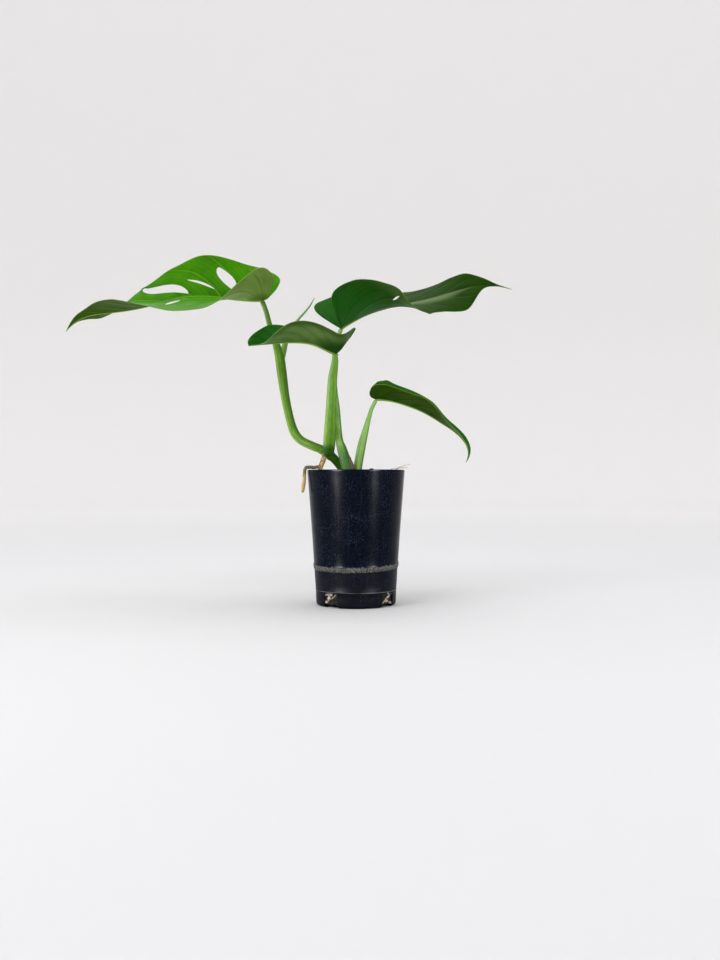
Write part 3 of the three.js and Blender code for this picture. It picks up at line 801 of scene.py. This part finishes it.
def rootMaterial(values):
    material, tree, shader = newMaterial("rootSkin", Roughness=0.72, Specular_IOR_Level=0.3)
    place = objectPlace(tree)
    parts = addNode(tree, "ShaderNodeSeparateXYZ", {"Vector": place})
    patches = fade(tree, speckle(tree, place, 260, 4, 0.65), 0.42, 0.6)
    colour = blend(tree, patches, values["gold"], values["brown"])

    def below(axis, span, amount):
        return fade(tree, parts.outputs[axis], span[0] * mm, span[1] * mm, amount, 0.0)

    colour = blend(tree, below("X", values["onRim"], 0.8), colour, values["olive"])
    heights, places = values["hanging"]
    hanging = times(tree, below("Z", heights, 0.9), below("X", places, 1.0))
    colour = blend(tree, hanging, colour, blend(tree, patches, values["pale"], values["gold"]))
    link(tree, colour, shader, "Base Color")
    link(tree, bump(tree, speckle(tree, place, 900, 5, 0.7), 0.3), shader, "Normal")
    return material


def knobbly(u, turn, travelled):
    places = np.stack([np.cos(2 * np.pi * turn) * 2, np.sin(2 * np.pi * turn) * 2, travelled * 0.8], axis=1)
    return 1 + 0.14 * roughness3d(places, 1.5, 5) + 0.05 * np.sin(travelled * 2.4)


rootParts = [sweep("root_down", {"stations": root["down"], "rings": 90}, 20, knobbly),
             sweep("root_over", {"stations": root["over"], "rings": 150}, 20, knobbly)]
wholeRoot = joinAll(rootParts, "air_root")
wholeRoot.data.materials.append(rootMaterial(root))
smooth(wholeRoot, 60)
finish(wholeRoot, "aerial_root")

drySheath = {
    "stations": [(-1.7, -7.8, 104, 1.3, 0.5), (-1.8, -7.8, 114, 1.5, 0.5), (-3, -7.8, 121, 1.2, 0.45),
                 (-5, -7.2, 127, 0.8, 0.4), (-6.4, -6.6, 130.5, 0.4, 0.3)],
    "rings": 60,
    "brown": (tint(122, 78, 44), tint(70, 40, 22)),
}


def torn(u, turn, travelled):
    return 1 + 0.3 * np.sin(travelled * 1.1 + 4 * turn) * u


scrap = sweep("dry_scrap", drySheath, 20, torn)
scrap.data.materials.append(crumbMaterial("dryBrown", drySheath["brown"], 300, 0.25, 0.8))
smooth(scrap, 60)
finish(scrap, "dry_sheath")


# Angles are degrees. The midrib sets out from base along heading and climb. Each half folds up by rise and
# bends by curl, and its outline gives along / length and across / half width. nicks move the edge: place
# along the outline, width, and shift along and out. A hole lies between two rows: its places along the
# outline at both ends, how far across it starts and ends, and half its width.

riseAt = (-0.12, 0.03, 0.16, 0.32, 0.5, 0.7, 0.9)  # places along the midrib
curlAt = (-0.1, 0.25, 0.6, 0.9)
veinFoot = (0, 0, 0, 0, 0.03, 0.13, 0.28, 0.44, 0.59, 0.74, 0.86, 1)  # where the rows leave the midrib
firstRow = 0.03


# A tint on one face, in full where every measure is full; most of them are painted shade and painted sheen,
# the rest the leaf's own colour. Each gives its name, start and where it is full: reach is the distance from
# the leaf's base, and share runs from 0 at the midrib to 1 or -1 at an edge.
def shade(face, colour, amount, *where):
    return {"on": face, "colour": tint(*colour), "amount": amount, "where": where}


leaf1 = {
    "base": (-86.6, 34, 272.8), "length": 194, "halfWidth": 50.6,
    "heading": (170, 172, 175, 177), "climb": (2, 8, 0, -15, -8, -9, -50),
    "rib": (1.6, 0.2), "ripple": (1.5, 2.4), "rows": 210, "columns": 54,
    "holes": [
        {"side": -1, "along": (0.443, 0.452), "across": (0.2, 0.74), "width": 0.022},
        {"side": -1, "along": (0.502, 0.548), "across": (0.2, 0.5), "width": 0.009},
        {"side": 1, "along": (0.553, 0.545), "across": (0.4, 0.74), "width": 0.012},
        {"side": -1, "along": (0.584, 0.63), "across": (0.1, 0.96), "width": 0.027},
    ],
    "left": {
        "ripplePhase": -0.23, "rise": (49, 15, -10, -15, -10, 8, 28), "curl": (7, -25, -7, -5),
        "outline": [(0, 0), (-0.05, 0.2), (-0.08, 0.51), (-0.03, 0.85), (0.11, 0.93), (0.3, 0.93),
                    (0.48, 0.92), (0.64, 0.8), (0.76, 0.53), (0.85, 0.24), (0.92, 0.12), (1, 0)],
        "nicks": [],
    },
    "right": {
        "ripplePhase": 0.39, "rise": (50, 63, 63, 59, 42, 26, -14), "curl": (-24, 4, 20, -7),
        "outline": [(0, 0), (-0.03, 0.06), (-0.06, 0.38), (-0.04, 0.69), (0.11, 0.85), (0.3, 0.94),
                    (0.48, 0.89), (0.64, 0.75), (0.76, 0.51), (0.85, 0.2), (0.92, 0.04), (1, 0)],
        "nicks": [(0.512, 0.024, 0, -0.06), (0.627, 0.007, 0, 0.05), (0.8, 0.03, 0, 0.06)],
    },
    "veins": 12, "puff": 0.5,
    "top": (tint(30, 92, 0), tint(64, 134, 0)), "topRib": tint(118, 168, 44),
    "under": (tint(132, 162, 80), tint(106, 138, 56)), "underRib": tint(150, 190, 64),
    "underVein": tint(72, 104, 30),
    "veinShow": 0.8,
    "shades": [
        # painted shade on the underside towards the tip
        shade("under", (44, 78, 0), 0.95, ("reach", 88, 112)),
        # painted shade on the underside by the base
        shade("under", (64, 98, 20), 0.8, ("reach", 16, 5)),
        # painted sheen on the top of the left half's outer part
        shade("top", (110, 150, 84), 0.5, ("share", 0.45, 0.95)),
    ],
}
leaf2 = {
    "base": (-12.8, 5, 242.5), "length": 187, "halfWidth": 46.5,
    "heading": (60, 31, -13, 1), "climb": (26, 25, 18, 12, 14, 7, -19),
    "rib": (1.5, 0.2), "ripple": (1.7, 0.56), "rows": 200, "columns": 52,
    "holes": [
        {"side": -1, "along": (0.466, 0.431), "across": (0.7, 0.94), "width": 0.006},
        {"side": 1, "along": (0.583, 0.571), "across": (0.38, 0.72), "width": 0.011},
    ],
    "left": {
        "ripplePhase": -0.39, "rise": (57, 47, 41, 36, 31, 44, 69), "curl": (0, 11, -11, 15),
        "outline": [(0, 0), (-0.01, 0.21), (-0.06, 0.5), (-0.01, 0.68), (0.17, 0.74), (0.3, 0.79),
                    (0.48, 0.78), (0.64, 0.68), (0.76, 0.49), (0.85, 0.21), (0.92, 0.04), (1, 0)],
        "nicks": [],
    },
    "right": {
        "ripplePhase": 0.25, "rise": (85, 65, 32, -1, -20, -38, -54), "curl": (-11, 2, -16, -26),
        "outline": [(0, 0), (-0.02, 0.08), (-0.06, 0.4), (-0.06, 0.8), (0.2, 1.04), (0.3, 0.95),
                    (0.48, 0.8), (0.64, 0.67), (0.76, 0.63), (0.85, 0.12), (0.92, 0.02), (1, 0)],
        "nicks": [(0.585, 0.012, 0, 0.06)],
    },
    "veins": 12, "puff": 0.25,
    "top": (tint(16, 48, 0), tint(34, 66, 0)), "topRib": tint(98, 126, 62),
    "under": (tint(10, 70, 0), tint(28, 80, 0)), "underRib": tint(120, 160, 50),
    "underVein": tint(6, 54, 0),
    "veinShow": 0.3,
    "shades": [
        # painted sheen on the underside near its edge
        shade("under", (96, 124, 66), 0.4, ("reach", 40, 62), ("fromEdge", 14, 4)),
        shade("under", (14, 98, 8), 0.5, ("reach", 46, 30)),
        # painted sheen on the right half's top, below the fold
        shade("top", (124, 144, 100), 0.5,
            ("share", -0.5, -0.14), ("share", 0.0, -0.04), ("reach", 64, 84), ("reach", 150, 110)),
        # painted shade on the top beside the midrib's fold
        shade("top", (20, 54, 0), 0.7, ("share", -0.04, 0.0), ("share", 0.6, 0.1)),
        shade("top", (16, 104, 6), 0.6, ("share", 0.0, 0.06), ("reach", 56, 38)),
    ],
}
leaf3 = {
    "base": (-18.9, -22, 216.4), "length": 78, "halfWidth": 28.5,
    "heading": (199, 184, 172, 162, 155), "climb": (20, 24, 7, 0, -2, -2, -2),
    "rib": (1.3, 0.2), "ripple": (4.6, 1.46), "rows": 170, "columns": 40,
    "holes": [],
    "left": {
        "ripplePhase": -0.33, "rise": (73, 40, 37, 30, 20, 4, -11), "curl": (5, -7, -7, -5),
        "outline": [(0, 0), (-0.04, 0.11), (-0.08, 0.55), (-0.1, 0.98), (0.2, 0.94), (0.36, 0.91),
                    (0.56, 0.87), (0.71, 0.6), (0.82, 0.28), (0.9, 0.1), (0.95, 0.03), (1, 0)],
        "nicks": [],
    },
    "right": {
        "ripplePhase": 0.06, "rise": (17, 36, 36, 38, 42, 42, 44), "curl": (-13, 3, 15, 15),
        "outline": [(0, 0), (-0.05, 0.16), (-0.09, 0.42), (-0.01, 0.72), (0.13, 0.9), (0.34, 0.96),
                    (0.56, 0.88), (0.73, 0.77), (0.89, 0.7), (1.02, 0.58), (1.05, 0.3), (1, 0)],
        "nicks": [],
    },
    "veins": 11, "puff": 0.35,
    "top": (tint(10, 70, 8), tint(30, 86, 18)), "topRib": tint(90, 132, 60),
    "under": (tint(62, 98, 28), tint(98, 128, 66)), "underRib": tint(140, 180, 74),
    "underVein": tint(48, 80, 18),
    "veinShow": 0.25,
    "shades": [
        # painted sheen: the underside deepened near its edge, so that its middle stays pale
        shade("under", (44, 74, 6), 0.75, ("fromEdge", 12, 2), ("reach", 60, 46)),
        # painted shade on the underside by the base
        shade("under", (18, 62, 0), 0.92, ("reach", 24, 7)),
    ],
}
leaf4 = {
    "base": (18.1, -8, 178.4), "length": 109, "halfWidth": 21.3,
    "heading": (3, 20, 1, -14), "climb": (0, -14, -19, -30, -35, -58, -114),
    "rib": (1.1, 0.2), "ripple": (-1.25, -0.25), "rows": 160, "columns": 32,
    "holes": [],
    "left": {
        "ripplePhase": -0.26, "rise": (57, 56, 44, 43, 49, 43, 62), "curl": (-2, 13, 6, 13),
        "outline": [(0, 0), (0.01, 0.13), (-0.04, 0.51), (-0.01, 0.76), (0.05, 0.93), (0.28, 1),
                    (0.44, 0.86), (0.58, 0.5), (0.7, 0.34), (0.8, 0.22), (0.9, 0.11), (1, 0)],
        "nicks": [(0.38, 0.012, 0, 0.06)],
    },
    "right": {
        "ripplePhase": 0.49, "rise": (47, 41, 24, 24, 20, 12, 9), "curl": (2, 1, -21, 3),
        "outline": [(0, 0), (-0.05, 0.14), (-0.06, 0.43), (-0.02, 0.78), (0.13, 0.93), (0.28, 0.95),
                    (0.44, 0.88), (0.58, 0.63), (0.7, 0.42), (0.8, 0.2), (0.9, 0.05), (1, 0)],
        "nicks": [],
    },
    "veins": 11, "puff": 0.3,
    "top": (tint(24, 84, 8), tint(44, 104, 24)), "topRib": tint(104, 150, 60),
    "under": (tint(28, 66, 0), tint(50, 78, 4)), "underRib": tint(150, 196, 70),
    "underVein": tint(18, 52, 0),
    "veinShow": 0.5,
    # painted sheen, paler towards the tail of the underside
    "shades": [shade("under", (126, 148, 98), 0.9, ("reach", 54, 92))],
}

blade = {
    "middle": 0.56,  # thickness
    "margin": 0.26,
    "veinGroove": 0.12,  # on the upper face
    "veinRidge": 0.26,  # on the underside
    "forward": 0.045,  # how far a side vein runs on towards the tip
    "unevenness": 0.35,
    "sheen": (0.015, 0.035),  # from here on top and underside
    "gloss": (0.3, 0.42),
    "veinTint": (0.35, 0.7),
    "ribTint": (0.6, 0.85),
    "fineRelief": (-0.5, 0.5),
    "veinRelief": (-1.6, 1.6),
}


def midribOf(leaf, x):
    steps = 400
    u = np.arange(steps + 1) / steps
    heading = np.radians(splineAt(leaf["heading"], u))
    climb = np.radians(splineAt(leaf["climb"], u))
    run = np.stack([np.cos(climb) * np.cos(heading), np.cos(climb) * np.sin(heading), np.sin(climb)], axis=1)
    middles = (run[1:] + run[:-1]) * leaf["length"] / steps / 2
    place = np.array(leaf["base"]) + np.vstack([np.zeros(3), np.cumsum(middles, axis=0)])

    def at(values):
        return np.stack([np.interp(x, u, values[:, k]) for k in range(3)], axis=-1)
    direction = at(run)
    direction /= np.linalg.norm(direction, axis=-1)[..., None]
    angle = np.interp(x, u, heading)
    across = np.stack([-np.sin(angle), np.cos(angle), np.zeros_like(angle)], axis=-1)
    up = np.cross(direction, across)
    spot = at(place) + direction * ((np.minimum(x, 0) + np.maximum(x - 1, 0)) * leaf["length"])[..., None]
    return spot, across, up


def bladePoints(leaf, side, u, t):
    half = leaf["left"] if side > 0 else leaf["right"]
    edge = splineAt(half["outline"], u)
    edgeX, edgeY = edge[..., 0].copy(), edge[..., 1].copy()
    for where, width, alongShift, outShift in half["nicks"]:
        near = np.exp(-((u - where) / width) ** 2) * t ** 3
        edgeX += near * alongShift
        edgeY += near * outShift
    foot = splineAt(veinFoot, u)
    x = foot + (edgeX - foot) * t
    y = np.maximum(edgeY * t, 0)
    spot, across, up = midribOf(leaf, x)
    rise = np.radians(between(half["rise"], riseAt, x))
    bend = np.radians(between(half["curl"], curlAt, x)) / leaf["halfWidth"]
    bend = np.where(np.abs(bend) < 1e-6, 1e-5, bend)
    turned = rise + bend * y * leaf["halfWidth"]
    wave = leaf["ripple"][0] * y ** 1.5 * np.sin(2 * np.pi * (leaf["ripple"][1] * x + half["ripplePhase"]))
    return (spot + across * (side * (np.sin(turned) - np.sin(rise)) / bend)[..., None]
            + up * ((np.cos(rise) - np.cos(turned)) / bend + wave)[..., None])


# The rows for one half, as places along the outline, and which of them open a hole.
def rowPlaces(leaf, side, t):
    bounds = [np.full_like(t, firstRow)]
    for hole in leaf["holes"]:
        own = hole["side"] == side
        (a, b), (c, d) = hole["along"], hole["across"]
        share = np.clip((t - c) / (d - c), 0, 1)
        middle = a + (b - a) * share * own
        opening = hole["width"] * np.sin(np.pi * share) ** 0.7 * own
        bounds += [middle - opening, middle + opening]
    bounds.append(np.ones_like(t))
    rows, opens = [], []
    for k, (low, high) in enumerate(zip(bounds, bounds[1:])):
        hole = k % 2 == 1
        parts = 1 if hole else math.ceil((high[0] - low[0]) * leaf["rows"])
        for n in range(parts):
            rows.append(low + (high - low) * n / parts)
            opens.append(hole)
    rows.append(np.ones_like(t))
    return np.array(rows), opens


def halfBlade(leaf, side):
    t = np.linspace(0, 1, leaf["columns"] + 1)
    for hole in leaf["holes"]:
        if hole["side"] == side:
            low, high = hole["across"]
            ends = np.array((0.0, 0.012, 0.03, 0.06)) * (high - low)  # closer columns round both ends
            t = np.concatenate([t, low + ends, high - ends])
    t = np.unique(np.round(t, 4))
    u, opens = rowPlaces(leaf, side, t)
    grid = addGrid(len(t) - 1, len(u) - 1)
    tt = np.broadcast_to(t, u.shape)
    points = bladePoints(leaf, side, u, tt)
    along = np.gradient(points, axis=0)
    out = np.gradient(points, axis=1)
    normal = np.cross(along, out) * side
    length = np.linalg.norm(normal, axis=-1)
    normal = np.where(length[..., None] > 1e-6, normal / np.maximum(length, 1e-9)[..., None], (0, 0, 1))
    veinCount = (u - blade["forward"] * tt ** 2) * leaf["veins"]
    inside = easeTo(tt, 0.02, 0.3) * (1 - easeTo(tt, 0.75, 1.0))
    inside = inside * easeTo(u, 0.1, 0.25) * (1 - easeTo(u, 0.85, 0.97))
    puff = leaf["puff"] * (np.abs(np.sin(np.pi * veinCount)) - 0.5) * inside
    flat = points.reshape(-1, 3)
    uneven = roughness3d(flat, 11, 4).reshape(u.shape) * blade["unevenness"] * easeTo(tt, 0.0, 0.2)
    points = points + normal * (puff + uneven)[..., None]
    setPoints(grid, points.reshape(-1, 3) * mm)
    steps = np.linalg.norm(np.diff(points, axis=1), axis=-1)
    fromRib = np.concatenate([np.zeros((len(u), 1)), np.cumsum(steps, axis=1)], axis=1)
    fromEdge = fromRib[:, -1:] - fromRib
    addLayers(grid, {"veinCount": veinCount, "fromRib": fromRib, "fromEdge": fromEdge, "share": tt * side,
                     "outline": u})
    onlySelect(grid)
    bpy.ops.object.mode_set(mode="EDIT")
    bpy.ops.mesh.select_mode(type="FACE")
    bpy.ops.mesh.select_all(action="DESELECT")
    stopEditing()
    columns = len(t) - 1
    for row, opened in enumerate(opens):
        if not opened:
            continue
        for column in range(columns):  # cells inside the hole
            middle = (t[column] + t[column + 1]) / 2
            here = u[row + 1, column] - u[row, column] + u[row + 1, column + 1] - u[row, column + 1]
            grid.data.polygons[row * columns + column].select = here > 1e-6 and middle > 0
    bpy.ops.object.mode_set(mode="EDIT")
    bpy.ops.mesh.delete(type="ONLY_FACE")
    if side > 0:
        bpy.ops.mesh.select_all(action="SELECT")
        bpy.ops.mesh.flip_normals()
    stopEditing()
    return grid


def leafMaterial(name, leaf, face):
    isUnder = face == "under"
    colours, ribColour = leaf[face], leaf[face + "Rib"]
    material, tree, shader = newMaterial(
        name, Specular_IOR_Level=blade["sheen"][isUnder], Subsurface_Weight=0.2,
        Subsurface_Radius=(0.5, 1.0, 0.15), Subsurface_Scale=0.9 * mm)
    place = objectPlace(tree)
    count, fromRib, fromEdge = (attribute(tree, key) for key in ("veinCount", "fromRib", "fromEdge"))
    fromVein = math2(tree, "PINGPONG", count, 0.5)
    vein = fade(tree, fromVein, 0.012, 0.06, 1.0, 0.0)
    vein = times(tree, vein, fade(tree, fromEdge, 1.0, 9.0))
    fineVein = fade(tree, math2(tree, "PINGPONG", times(tree, count, 5.0), 0.5), 0.05, 0.3, 1.0, 0.0)
    broad = fade(tree, speckle(tree, place, 38, 3, 0.55), 0.32, 0.68)
    fine = fade(tree, speckle(tree, place, 320, 4, 0.6), 0.3, 0.7)
    bands = fade(tree, fromVein, 0.05, 0.45)
    amount = plus(tree, times(tree, broad, 0.4), times(tree, bands, 0.25))
    amount = plus(tree, amount, times(tree, fine, 0.15))
    # more of the second colour away from the midrib: on the top faces, painted shade along the midrib's fold
    amount = plus(tree, amount, fade(tree, fromRib, 3.0, 16.0, 0.0, 0.3), clamp=True)
    colour = blend(tree, amount, *colours)
    fromBase = addNode(tree, "ShaderNodeVectorMath", {0: place, 1: [c * mm for c in leaf["base"]]},
                       operation="DISTANCE").outputs["Value"]
    reach = math2(tree, "DIVIDE", fromBase, mm)
    # the leaf's shades: painted shade and painted sheen, and some of its own colour
    for shade in leaf["shades"]:
        if shade["on"] != face:
            continue
        here = shade["amount"]
        for key, start, full in shade["where"]:
            measure = reach if key == "reach" else attribute(tree, key)
            here = times(tree, here, fade(tree, measure, start, full))
        colour = blend(tree, here, colour, shade["colour"])
    colour = blend(tree, times(tree, fineVein, 0.1 * leaf["veinShow"]), colour, ribColour)
    colour = blend(tree, times(tree, vein, blade["veinTint"][isUnder] * leaf["veinShow"]), colour,
                   leaf["underVein"] if isUnder else ribColour)
    rib = fade(tree, fromRib, 0.7, 1.7, 1.0, 0.0)
    colour = blend(tree, times(tree, rib, blade["ribTint"][isUnder]), colour, ribColour)
    margin = fade(tree, fromEdge, 0.15, 0.9, 1.0, 0.0)
    colour = blend(tree, times(tree, margin, 0.35), colour, ribColour)
    link(tree, colour, shader, "Base Color")
    base = blade["gloss"][isUnder]
    link(tree, fade(tree, fine, 0.0, 1.0, base, base + 0.1), shader, "Roughness")
    cells = addNode(tree, "ShaderNodeTexVoronoi", {"Vector": place, "Scale": 620.0}, feature="SMOOTH_F1")
    height = plus(tree, times(tree, cells.outputs["Distance"], 0.6),
                  times(tree, fineVein, blade["fineRelief"][isUnder]))
    height = plus(tree, height, times(tree, vein, blade["veinRelief"][isUnder]))
    link(tree, bump(tree, height, 0.08, 0.8), shader, "Normal")
    return material


def makeLeaf(name, leaf, node):
    halves = [halfBlade(leaf, side) for side in (1, -1)]
    made = joinAll(halves, name)
    weld(made, 0.003 * mm, outward=False)
    group = made.vertex_groups.new(name="thickness")
    thin = blade["margin"] / blade["middle"]
    weights = thin + (1 - thin) * easeTo(layerOf(made, "fromEdge"), 0.0, 3.5)
    for index, weight in enumerate(weights):
        group.add((index,), float(weight), "REPLACE")
    for face in ("top", "under"):
        made.data.materials.append(leafMaterial(name + "_" + face, leaf, face))
    count = len(made.data.vertices)
    normals = np.empty(count * 3, dtype=np.float32)
    made.data.vertices.foreach_get("normal", normals)
    normals = normals.reshape(-1, 3)
    applyModifier(made, "SOLIDIFY", thickness=blade["middle"] * mm, offset=0, vertex_group="thickness",
                  use_even_offset=False, material_offset=1, material_offset_rim=1)
    veinCount, fromRib, fromEdge, outline = (
        layerOf(made, key) for key in ("veinCount", "fromRib", "fromEdge", "outline"))
    fromVein = np.abs((veinCount + 0.5) % 1 - 0.5)
    vein = np.exp(-(fromVein / 0.055) ** 2) * easeTo(fromEdge, 1, 12) * easeTo(fromRib, 0.5, 3)
    ribDepth = leaf["rib"][0] + (leaf["rib"][1] - leaf["rib"][0]) * outline[count:]
    ribWide = 0.7 + 0.9 * (1 - outline[count:])
    rib = np.exp(-(fromRib[count:] / ribWide) ** 2)
    points = pointsOf(made)  # the first half of the points is the upper face
    points[:count] -= normals * (blade["veinGroove"] * vein[:count])[:, None] * mm
    points[count:] -= normals * (blade["veinRidge"] * vein[count:] + ribDepth * rib)[:, None] * mm
    setPoints(made, points)
    made.vertex_groups.clear()
    smooth(made, 60)
    finish(made, node)


makeLeaf("big_leaf", leaf1, "leaf_1")
makeLeaf("right_leaf", leaf2, "leaf_2")
makeLeaf("middle_leaf", leaf3, "leaf_3")
makeLeaf("small_leaf", leaf4, "leaf_4")
print("leaves ready")
